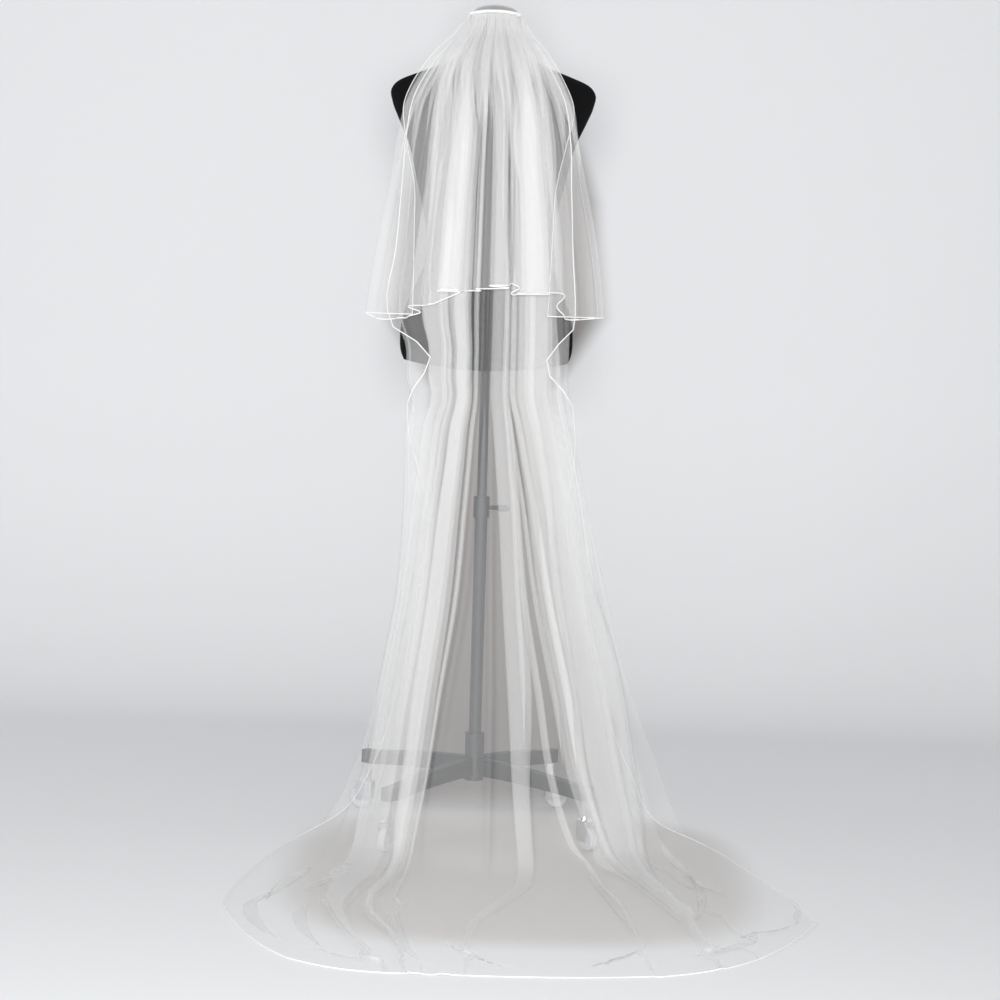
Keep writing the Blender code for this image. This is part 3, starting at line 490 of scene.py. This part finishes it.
def cloth_profile(level, folds, plain_after, scale_from, hem_ends=(0.0, 0.0)):
    """(x, offset, hem height) of every column at one level, left to right along the cloth."""
    _, left, right, _, _, _, layer, formed, left_strip, right_strip, place = level
    stretch = (left / scale_from[0], right / scale_from[1]) if place == 0 else (1.0, 1.0)
    points = [(*point, hem_ends[0]) for point in strip_points(left, left_strip, layer, -1)]
    end = strip_points(right, right_strip, layer, 1)[::-1]
    foot = RIDGE_FOOT * layer
    for kind, layers, plain, run, places, *heights in (*folds, ("end", 0, plain_after, 0, ())):
        turns = [station_value(values, place) for values in zip(*places)]
        turns = [x * (stretch[0] if x < 0 else stretch[1]) for x in turns]
        if kind == "end":
            made = end
        elif kind == "ridge":
            made = [(turns[0] + share * foot, RIDGE_HEIGHT * layer * (abs(share) < 1))
                    for share in (-1.0, -0.4, 0.4, 1.0)]
        else:
            made = stack_points(turns, layer, layers, kind, run)
        begin, finish = heights[0] if heights else (hem_ends[1], hem_ends[1])
        start, _, height = points[-1]
        step = (made[0][0] - start) / (plain + 1)
        rise = RIPPLE * min(layer, abs(step))
        points += [(start + step * (i + 1), rise * ((i + 1) % 2),
                    lerp(height, begin, (i + 1) / (plain + 1))) for i in range(plain)]
        points += [(x, offset, lerp(begin, finish, i / (len(made) - 1)))
                   for i, (x, offset) in enumerate(made)]
    last = len(points) - 1
    return [(lerp(lerp(left, right, i / last), x, formed), offset, height)
            for i, (x, offset, height) in enumerate(points)]


def base_y(level, x):
    """Plan curve of the sheet at one level, before its folds."""
    _, left, right, middle, side, power = level[:6]
    share = abs(x / (left if x < 0 else right))
    return middle + (side - middle) * min(share, 1.15) ** power


def control_net(levels, folds, plain_after, scale_from, height, hem_ends):
    """Control points of a tier and their outward directions, as two arrays."""
    profiles = [cloth_profile(level, folds, plain_after, scale_from, hem_ends)
                for level in levels]
    hem = profiles[-1]
    base = [[Vector((x, base_y(level, x), height(level[0], hem[i])))
             for i, (x, _, _) in enumerate(profile)] for level, profile in zip(levels, profiles)]
    net = np.zeros((len(levels), len(hem), 6))
    for j, (level, profile) in enumerate(zip(levels, profiles)):
        above, below = base[max(j - 1, 0)], base[min(j + 1, len(base) - 1)]
        for i, (x, offset, _) in enumerate(profile):
            across = Vector((0.002, base_y(level, x + 0.001) - base_y(level, x - 0.001), 0))
            outward = (below[i] - above[i]).cross(across).normalized()
            net[j, i] = (*(base[j][i] + outward * offset), *outward)
    return net


def smooth_columns(net, count):
    """Cubic B-spline across each row, through count points that are spread by width."""
    first, last = 2 * net[:, :1] - net[:, 1:2], 2 * net[:, -1:] - net[:, -2:-1]
    padded = np.concatenate([first, net, last], axis=1)
    width = np.linalg.norm(np.diff(net[:, :, :3], axis=1), axis=2)
    share = (width / width.sum(axis=1, keepdims=True)).mean(axis=0)
    share = share + COLUMN_EVENNESS * share.mean()
    reach = np.concatenate([[0.0], np.cumsum(share)]) / share.sum()
    place = np.interp(np.linspace(0, 1, count), reach, np.arange(net.shape[1]))
    i = np.minimum(place.astype(int), net.shape[1] - 2)
    t = (place - i)[None, :, None]
    weights = ((1 - t) ** 3, 3 * t ** 3 - 6 * t ** 2 + 4, -3 * t ** 3 + 3 * t ** 2 + 3 * t + 1, t ** 3)
    return sum(weight * padded[:, i + k] for k, weight in enumerate(weights)) / 6


def smooth_rows(net, count, even_to):
    """Smooth curve down each column through its rows. Half of the count rows are spread over
    the first share even_to of the length."""
    middle = net[:, net.shape[1] // 2, :3]
    length = np.concatenate([[0.0], np.cumsum(np.linalg.norm(np.diff(middle, axis=0), axis=1))])
    slope = np.gradient(net, length, axis=0)
    place = np.interp(np.linspace(0, 1, count), (0, 0.5, 1), (0, even_to, 1)) * length[-1]
    i = np.clip(np.searchsorted(length, place) - 1, 0, len(length) - 2)
    step = (length[i + 1] - length[i])[:, None, None]
    t = ((place - length[i])[:, None, None]) / step
    return ((2 * t ** 3 - 3 * t ** 2 + 1) * net[i] + (t ** 3 - 2 * t ** 2 + t) * step * slope[i]
            + (3 * t ** 2 - 2 * t ** 3) * net[i + 1] + (t ** 3 - t ** 2) * step * slope[i + 1])


def ramp(x, low, high):
    """Smooth step from 0 at low to 1 at high."""
    t = np.clip((x - low) / (high - low), 0.0, 1.0)
    return t * t * (3 - 2 * t)


def add_gathers(points, outward, drop, count, depth, fullness):
    """Tubes of the gathering, which overhang each other under the header and fade out."""
    columns = points.shape[1]
    share = np.linspace(0, 1, columns)[None, :]
    uneven = share + 0.006 * np.sin(2 * np.pi * (3.3 * share + 0.4)) + 0.003 * np.sin(
        2 * np.pi * 9.1 * share)
    phase = 2 * np.pi * count * uneven
    fade = 1.0 - ramp(drop, 0.03, 0.34)
    full = 1 + 0.45 * np.sin(2 * np.pi * 7.3 * share + 1.0) + 0.35 * np.sin(2 * np.pi * 12.7 * share)
    period = (points[:, -1:] - points[:, :1]) / count
    along = -np.sin(2 * phase) / (4 * np.pi) * fullness * full * fade
    out = np.cos(phase) * depth * np.minimum(1.0, 0.5 + drop / 0.06) * fade
    return points + period * along[:, :, None] + outward * out[:, :, None]


def add_fine_folds(points, outward, drop, count, seed, opened):
    """Narrow folds, each doubling the cloth over a few columns for part of its length."""
    rng = np.random.default_rng(seed)
    columns = points.shape[1]
    place = np.arange(columns)[None, :]
    for _ in range(count):
        centre = rng.uniform(0.03, 0.97) * columns
        width = rng.uniform(3.0, 6.0)
        start = rng.uniform(-0.1, 0.5)
        reach = rng.uniform(0.25, 0.7)
        drift = rng.uniform(-8, 8)
        fullness = rng.uniform(1.2, 2.4)
        height = rng.uniform(0.0010, 0.0028)
        middle = centre + drift * (drop - start)
        s = (place - middle) / width
        live = ramp(drop, start, start + 0.08) * (1 - ramp(drop, start + reach, start + reach + 0.15))
        bell = np.exp(-s * s)
        slope = np.gradient(points, axis=1)
        points = points - slope * (width * fullness * s * bell * live)[:, :, None] \
            + outward * (height * bell * live * opened)[:, :, None]
    return points


def add_sway(points, outward, drop, size, seed):
    """Broad soft waves, so that no panel is flat."""
    rng = np.random.default_rng(seed)
    share = np.linspace(0, 1, points.shape[1])[None, :]
    wave = 0.0
    for _ in range(7):
        across, drift, phase = rng.uniform(5, 16), rng.uniform(-0.25, 0.25), rng.uniform(0, 6.3)
        wave = wave + np.sin(2 * np.pi * (across * share + drift * drop) + phase)
    return points + outward * (size * wave / 3.0)[:, :, None]


def add_train_folds(points, flat):
    """Draws the cloth of the train into its laid folds, which taper to nothing at both ends."""
    rows, columns = points.shape[:2]
    from_hem = (rows - 1 - np.arange(rows))[:, None] / 9
    across = np.arange(columns)[None, :]
    from_side = np.minimum(across, columns - 1 - across) / 14
    free = flat * ramp(np.minimum(from_hem, from_side), 0.0, 1.0)
    for (x0, d0), (x1, d1), (x2, d2), height, width in TRAIN_FOLDS:
        t = np.linspace(0, 1, FOLD_STEPS + 1)[:, None]
        path = ((1 - t) ** 2 * (x0, -d0) + 2 * t * (1 - t) * (
            2 * x1 - (x0 + x2) / 2, -2 * d1 + (d0 + d2) / 2) + t ** 2 * (x2, -d2))
        gap = np.full(points.shape[:2], 9.0)
        along = np.zeros(points.shape[:2])
        aside = np.zeros((*points.shape[:2], 2))
        hand = np.ones(points.shape[:2])
        for k, (first, second) in enumerate(zip(path[:-1], path[1:])):
            way = second - first
            from_first = points[:, :, :2] - first
            share = np.clip((from_first @ way) / (way @ way), 0, 1)
            away = from_first - share[:, :, None] * way
            far = np.linalg.norm(away, axis=2)
            nearer = far < gap
            along = np.where(nearer, (k + share) / FOLD_STEPS, along)
            aside = np.where(nearer[:, :, None], away, aside)
            hand = np.where(nearer, np.sign(way[0] * away[:, :, 1] - way[1] * away[:, :, 0]), hand)
            gap = np.minimum(gap, far)
        out = np.clip(gap / width, 0, 1)
        swell = free * np.sin(np.pi * along) ** 0.8 * (1 - out ** 2) ** 2
        points[:, :, :2] -= TRAIN_PINCH * aside * swell[:, :, None]
        points[:, :, 2] += height * swell * (0.5 + 0.5 * np.clip(3 * hand * out, -1, 1))
    return points


def tier(name, levels, folds, plain_after, scale_from, height, size, gathers, seed,
         hem_ends=(0.0, 0.0)):
    """Fine grid of one tier, in the part's frame."""
    rows, columns, even_to = size
    net = control_net(levels, folds, plain_after, scale_from, height, hem_ends)
    fine = smooth_rows(smooth_columns(net, columns), rows, even_to)
    points, outward = fine[:, :, :3].copy(), fine[:, :, 3:]
    outward /= np.linalg.norm(outward, axis=2, keepdims=True)
    middle = points[:, columns // 2]
    fall = np.concatenate([[0.0], np.cumsum(np.linalg.norm(np.diff(middle, axis=0), axis=1))])
    drop = fall[:, None]
    flat = ramp(-points[:, :, 2], -0.05, -0.004)
    points = add_sway(points, outward, drop, 0.0016 * ramp(drop, 0.1, 0.3), seed)
    points = add_fine_folds(points, outward, drop / fall[-1], FINE_FOLDS[name], seed + 1,
                            1 - 0.6 * flat)
    points = add_gathers(points, outward, drop, *gathers)
    points = add_train_folds(points, flat)
    points[:, :, 2] = np.where(flat > 0, np.maximum(points[:, :, 2], 0.0008), points[:, :, 2])
    return points + np.array(AXIS)


def lower_tier_points():
    hip = next(i for i, level in enumerate(LOWER_LEVELS) if level[-1] > 0)
    crease = LOWER_LEVELS[hip - 3]
    return tier("lower_tier", LOWER_LEVELS, LOWER_FOLDS, PLAIN_AFTER_LOWER,
                (crease[1], crease[2]), lambda z, hem: z, (200, 500, 0.64), (19, 0.0042, 9.0), 31)


def upper_tier_points():
    hem = UPPER_LEVELS[-1]
    return tier("upper_tier", UPPER_LEVELS, UPPER_FOLDS, PLAIN_AFTER_UPPER, (hem[1], hem[2]),
                lambda drop, hem: lerp(UPPER_TOP, hem[2], drop), (110, 620, 0.50), (21, 0.0046, 9.5),
                47, UPPER_HEM_ENDS)


def edge_route(points, clear):
    """Route of the cord: down one free side, along the hem and up the other side. Its last
    column is the cord's share of its full radius."""
    left, right = points[4:-1:2, 0], points[4:-1:2, -1]
    out_left = left - points[4:-1:2, 3]
    out_right = right - points[4:-1:2, -4]

    def unit(way):
        return way / np.maximum(np.linalg.norm(way, axis=1, keepdims=True), 1e-9)

    hem = points[-1] + unit(points[-1] - points[-4]) * clear * 0.5
    route = np.concatenate([left + unit(out_left) * clear * 0.3, hem,
                            (right + unit(out_right) * clear * 0.3)[::-1]])
    side = np.where((left[:, 2] > 0.83) & (points[-1, 0, 2] < 0.5), 1.0, SIDE_CORD)
    share = np.concatenate([side, np.ones(len(hem)), side[::-1]])
    route[:, 2] = np.maximum(route[:, 2], clear)
    route = np.hstack([route, share[:, None]])
    return route[np.concatenate([[True], np.linalg.norm(np.diff(route[:, :3], axis=0),
                                                        axis=1) > 0.0007])]


class VeilCloth(bpy.types.PropertyGroup):
    net_colour: bpy.props.FloatVectorProperty(
        name="Net colour", description="Colour of the soft net", subtype="COLOR",
        default=(0.61, 0.61, 0.605), min=0.0, max=1.0)
    net_opacity: bpy.props.FloatProperty(
        name="Net opacity", description="How much one layer of net covers", subtype="FACTOR",
        default=0.20, min=0.0, max=1.0)
    cord_colour: bpy.props.FloatVectorProperty(
        name="Cord colour", description="Colour of the corded edge", subtype="COLOR",
        default=(0.88, 0.875, 0.86), min=0.0, max=1.0)
    cord_radius: bpy.props.FloatProperty(
        name="Cord radius", description="Radius of the corded edge", unit="LENGTH",
        default=0.0011, min=0.0002, max=0.005)


class VeilStand(bpy.types.PropertyGroup):
    jersey_colour: bpy.props.FloatVectorProperty(
        name="Jersey colour", description="Colour of the form's cover", subtype="COLOR",
        default=(0.0030, 0.0030, 0.0035), min=0.0, max=1.0)
    enamel_colour: bpy.props.FloatVectorProperty(
        name="Enamel colour", description="Colour of the pole and legs", subtype="COLOR",
        default=(0.022, 0.024, 0.028), min=0.0, max=1.0)
    ring_sides: bpy.props.IntProperty(
        name="Form sides", description="Points round each section of the form",
        default=128, min=16, max=512)


class VeilStage(bpy.types.PropertyGroup):
    backdrop_colour: bpy.props.FloatVectorProperty(
        name="Backdrop colour", description="Colour of the floor and the wall", subtype="COLOR",
        default=(0.80, 0.805, 0.815), min=0.0, max=1.0)
    # Painted shadow: the colour painted on the wall behind the veil, not the wall's own colour.
    shade_colour: bpy.props.FloatVectorProperty(
        name="Painted wall shade colour", description="Colour of the wall behind the veil", subtype="COLOR",
        default=(0.28, 0.26, 0.25), min=0.0, max=1.0)
    # Painted shadow: the colour painted on the floor under the train, not the floor's own colour.
    floor_shade_colour: bpy.props.FloatVectorProperty(
        name="Painted floor shade colour", description="Colour of the floor under the train",
        subtype="COLOR", default=(0.63, 0.61, 0.595), min=0.0, max=1.0)
    wall_place: bpy.props.FloatProperty(
        name="Wall place", description="Distance of the wall behind the pole", unit="LENGTH",
        default=1.85, min=1.0, max=6.0)
    key_power: bpy.props.FloatProperty(
        name="Key light", description="Power of the soft light beside the camera",
        unit="POWER", default=165.0, min=0.0, max=5000.0)
    sky_strength: bpy.props.FloatProperty(
        name="Room light", description="Strength of the even light of the room",
        default=0.47, min=0.0, max=5.0)


class VEIL_OT_lower_tier(bpy.types.Operator):
    """Builds the lower tier with its train, and its corded edge"""
    bl_idname = "veil.lower_tier"
    bl_label = "Lower tier"

    def execute(self, context):
        points = lower_tier_points()
        make_tier(context, "lower_tier", "train_net", points)
        return {"FINISHED"}


class VEIL_OT_upper_tier(bpy.types.Operator):
    """Builds the upper tier and its corded edge"""
    bl_idname = "veil.upper_tier"
    bl_label = "Upper tier"

    def execute(self, context):
        points = upper_tier_points()
        make_tier(context, "upper_tier", "short_net", points)
        return {"FINISHED"}


def make_tier(context, node, name, points):
    cloth = context.scene.veil_cloth
    sheet = new_piece(name, grid_mesh(name, points), LOOKS["net"], "ivory_tulle")
    # Light passes through soft net, so its layers don't darken each other.
    sheet.visible_shadow = False
    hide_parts(node)
    edge = name.replace("net", "corded_edge")
    cord = new_piece(edge, tube_curve(edge, edge_route(points, cloth.cord_radius),
                                      cloth.cord_radius, 1), LOOKS["cord"], "ivory_satin_cord")
    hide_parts(node.replace("tier", "edge_cord"))


class VEIL_OT_header(bpy.types.Operator):
    """Builds the corded header over the gathers, and finishes the comb"""
    bl_idname = "veil.header"
    bl_label = "Header and comb"

    def execute(self, context):
        steps, sides = 220, 16
        rows = []
        for i in range(steps + 1):
            share = i / steps
            turn = math.radians(-90) + math.radians(51.5) * (2 * share - 1)
            pucker = math.sin(2 * math.pi * 24 * share + 0.8 * math.sin(11 * share))
            tall, deep = 0.0028 + 0.0004 * pucker, 0.0074 + 0.0004 * pucker
            taper = min(1.0, 0.35 + 12 * min(share, 1 - share))
            ring = []
            for k in range(sides):
                angle = 2 * math.pi * k / sides
                out, up = math.cos(angle), math.sin(angle)
                r = 0.0588 + deep * taper * math.copysign(abs(out) ** 0.7, out)
                z = 1.5500 - 0.0050 * (2 * share - 1) ** 2 + tall * taper * math.copysign(
                    abs(up) ** 0.8, up) + 0.0006 * pucker
                ring.append((r * math.cos(turn), r * math.sin(turn), z))
            rows.append(ring)
        points = np.array(rows) + np.array(AXIS)
        mesh = grid_mesh("header_roll", points, closed=True)
        band = bmesh.new()
        band.from_mesh(mesh)
        band.verts.ensure_lookup_table()
        band.faces.new([band.verts[k] for k in range(sides)])
        band.faces.new([band.verts[steps * sides + k] for k in range(sides)][::-1])
        bmesh.ops.recalc_face_normals(band, faces=band.faces)
        band.to_mesh(mesh)
        band.free()
        roll = new_piece("header_roll", mesh, LOOKS["cord"], "ivory_satin_cord")
        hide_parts("header_band")
        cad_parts["comb"].data.materials[0] = LOOKS["clear"]
        return {"FINISHED"}


class VEIL_OT_form(bpy.types.Operator):
    """Builds the smooth covered body of the form, and finishes its neck cap"""
    bl_idname = "veil.form"
    bl_label = "Dress form"

    def execute(self, context):
        stand = context.scene.veil_stand
        table = np.array(FORM_SECTIONS)
        heights = np.concatenate([np.linspace(table[i, 0], table[i + 1, 0], 5)[:-1]
                                  for i in range(len(table) - 1)] + [table[-1:, 0]])
        slope = np.gradient(table[:, 1:], table[:, 0], axis=0)
        i = np.clip(np.searchsorted(table[:, 0], heights) - 1, 0, len(table) - 2)
        step = (table[i + 1, 0] - table[i, 0])[:, None]
        t = (heights - table[i, 0])[:, None] / step
        sizes = ((2 * t ** 3 - 3 * t ** 2 + 1) * table[i, 1:]
                 + (t ** 3 - 2 * t ** 2 + t) * step * slope[i]
                 + (3 * t ** 2 - 2 * t ** 3) * table[i + 1, 1:]
                 + (t ** 3 - t ** 2) * step * slope[i + 1])
        turn = np.linspace(0, 2 * math.pi, stand.ring_sides, endpoint=False)[None, :]
        x = sizes[:, :1] * np.cos(turn)
        y = np.where(np.sin(turn) > 0, sizes[:, 1:2], sizes[:, 2:3]) * np.sin(turn)
        z = np.repeat(heights[:, None], stand.ring_sides, axis=1)
        z[0] -= 0.016 * (1 - (x[0] / sizes[0, 0]) ** 2)
        points = np.stack([x, y, z], axis=2)
        ends = []
        for row, height, rim in ((0, 0.884, 0.96), (-1, 1.548, 0.985)):
            inner = points[row] * (rim, rim, 0) + (0, 0, 1) * points[row][:, 2:]
            core = np.stack([0.02 * np.cos(turn[0]), 0.02 * np.sin(turn[0]),
                             np.full(stand.ring_sides, height)], axis=1)
            ends.append((inner, core))
        points = np.concatenate([ends[0][1][None], ends[0][0][None], points,
                                 ends[1][0][None], ends[1][1][None]]) + np.array(AXIS)
        mesh = grid_mesh("form_cover", points, closed=True)
        body = bmesh.new()
        body.from_mesh(mesh)
        body.verts.ensure_lookup_table()
        count = stand.ring_sides
        body.faces.new([body.verts[k] for k in range(count)])
        body.faces.new([body.verts[len(body.verts) - count + k] for k in range(count)][::-1])
        bmesh.ops.recalc_face_normals(body, faces=body.faces)
        body.to_mesh(mesh)
        body.free()
        cover = new_piece("form_cover", mesh, LOOKS["jersey"], "black_jersey")
        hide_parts("dress_form_torso")
        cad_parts["neck_cap"].data.materials[0] = LOOKS["silver"]
        return {"FINISHED"}


class VEIL_OT_stand(bpy.types.Operator):
    """Finishes the pole, hub, legs, thumbscrew and casters"""
    bl_idname = "veil.stand"
    bl_label = "Stand and casters"

    def execute(self, context):
        enamel = ["pole_upper", "pole_lower", "pole_collar", "base_hub", "thumbscrew"]
        enamel += ["leg_%d" % i for i in range(1, 5)]
        for node in enamel:
            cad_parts[node].data.materials[0] = LOOKS["enamel"]
        for i in range(1, 5):
            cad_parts["caster_fork_%d" % i].data.materials[0] = LOOKS["chrome"]
            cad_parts["caster_wheel_%d" % i].data.materials[0] = LOOKS["wheel"]
        return {"FINISHED"}


class VEIL_OT_stage(bpy.types.Operator):
    """Builds the floor and backdrop, the lights and the camera"""
    bl_idname = "veil.stage"
    bl_label = "Stage"

    def execute(self, context):
        stage = context.scene.veil_stage
        bend = 0.8
        wall = AXIS.y + stage.wall_place
        turns = [math.radians(angle) for angle in range(0, 91, 6)]
        rows = [(-9.0, 0.0)]
        rows += [(wall - bend + bend * math.sin(turn), bend - bend * math.cos(turn))
                 for turn in turns]
        rows += [(wall, 7.0)]
        points = np.array([[(x, y, z - 0.0004) for x in (9.0, 0.0, -9.0)] for y, z in rows])
        floor = new_piece("floor_and_backdrop", grid_mesh("floor_and_backdrop", points),
                          stage_look(stage))
        add_light("key", CAMERA_PLACE + AXIS + Vector((-0.02, 0.0, 0.10)),
                  (AXIS.x, 0.0, 0.85), 0.5, stage.key_power)
        add_light("side", (-2.6, -2.2, 2.6), (0.0, 0.1, 0.9), 1.6, stage.key_power * 0.15)
        world = bpy.data.worlds.new("studio")
        world.use_nodes = True
        sky = world.node_tree.nodes["Background"]
        sky.inputs["Color"].default_value = (0.97, 0.98, 1.0, 1.0)
        sky.inputs["Strength"].default_value = stage.sky_strength
        context.scene.world = world
        camera = bpy.data.cameras.new("camera")
        camera.lens = CAMERA_LENS
        camera.sensor_width = 36.0
        holder = bpy.data.objects.new("camera", camera)
        context.scene.collection.objects.link(holder)
        holder.matrix_world = (Matrix.Translation(CAMERA_PLACE + AXIS)
                               @ Matrix.Rotation(CAMERA_PITCH, 4, "X")
                               @ Matrix.Rotation(CAMERA_ROLL, 4, "Z"))
        context.scene.camera = holder
        context.scene.cycles.transparent_max_bounces = 64
        context.scene.view_settings.view_transform = "Standard"
        return {"FINISHED"}


def add_light(name, place, target, size, power):
    light = bpy.data.lights.new(name, "AREA")
    light.size, light.energy = size, power
    holder = bpy.data.objects.new(name, light)
    holder.location = place
    holder.rotation_euler = (Vector(target) - Vector(place)).to_track_quat("-Z", "Y").to_euler()
    bpy.context.scene.collection.objects.link(holder)


class VEIL_PT_panel(bpy.types.Panel):
    bl_idname = "VEIL_PT_panel"
    bl_label = "Bridal veil"
    bl_space_type = "VIEW_3D"
    bl_region_type = "UI"
    bl_category = "Veil"

    def draw(self, context):
        for group in (context.scene.veil_cloth, context.scene.veil_stand,
                      context.scene.veil_stage):
            for name in group.__annotations__:
                self.layout.prop(group, name)
        for operator in STEPS:
            self.layout.operator(operator.bl_idname)


STEPS = (VEIL_OT_stage, VEIL_OT_form, VEIL_OT_stand, VEIL_OT_header, VEIL_OT_lower_tier,
         VEIL_OT_upper_tier)
GROUPS = (VeilCloth, VeilStand, VeilStage)


def register():
    for kind in (*GROUPS, *STEPS, VEIL_PT_panel):
        bpy.utils.register_class(kind)
    bpy.types.Scene.veil_cloth = bpy.props.PointerProperty(type=VeilCloth)
    bpy.types.Scene.veil_stand = bpy.props.PointerProperty(type=VeilStand)
    bpy.types.Scene.veil_stage = bpy.props.PointerProperty(type=VeilStage)


def unregister():
    for name in ("veil_cloth", "veil_stand", "veil_stage"):
        delattr(bpy.types.Scene, name)
    for kind in (VEIL_PT_panel, *reversed(STEPS), *reversed(GROUPS)):
        bpy.utils.unregister_class(kind)


def make_looks(scene):
    cloth, stand = scene.veil_cloth, scene.veil_stand
    LOOKS.update(
        net=net_look(cloth), cord=cord_look(cloth), jersey=jersey_look(stand.jersey_colour),
        silver=metal_look("satin silver", (0.60, 0.60, 0.58), 0.34, 1.0, 0.3, 90.0),
        enamel=metal_look("dark grey enamel", stand.enamel_colour, 0.50, 0.0, 0.35),
        chrome=metal_look("bright chrome", (0.72, 0.73, 0.75), 0.14, 1.0, 0.15, 120.0),
        clear=clear_look("clear comb plastic", (0.70, 0.72, 0.74), 0.55, 0.18),
        wheel=clear_look("clear wheel plastic", (0.55, 0.57, 0.60), 0.60, 0.16))


def main():
    register()
    make_looks(bpy.context.scene)
    bpy.ops.veil.stage()
    bpy.ops.veil.form()
    bpy.ops.veil.stand()
    bpy.ops.veil.header()
    bpy.ops.veil.lower_tier()
    bpy.ops.veil.upper_tier()


if __name__ == "__main__":
    main()
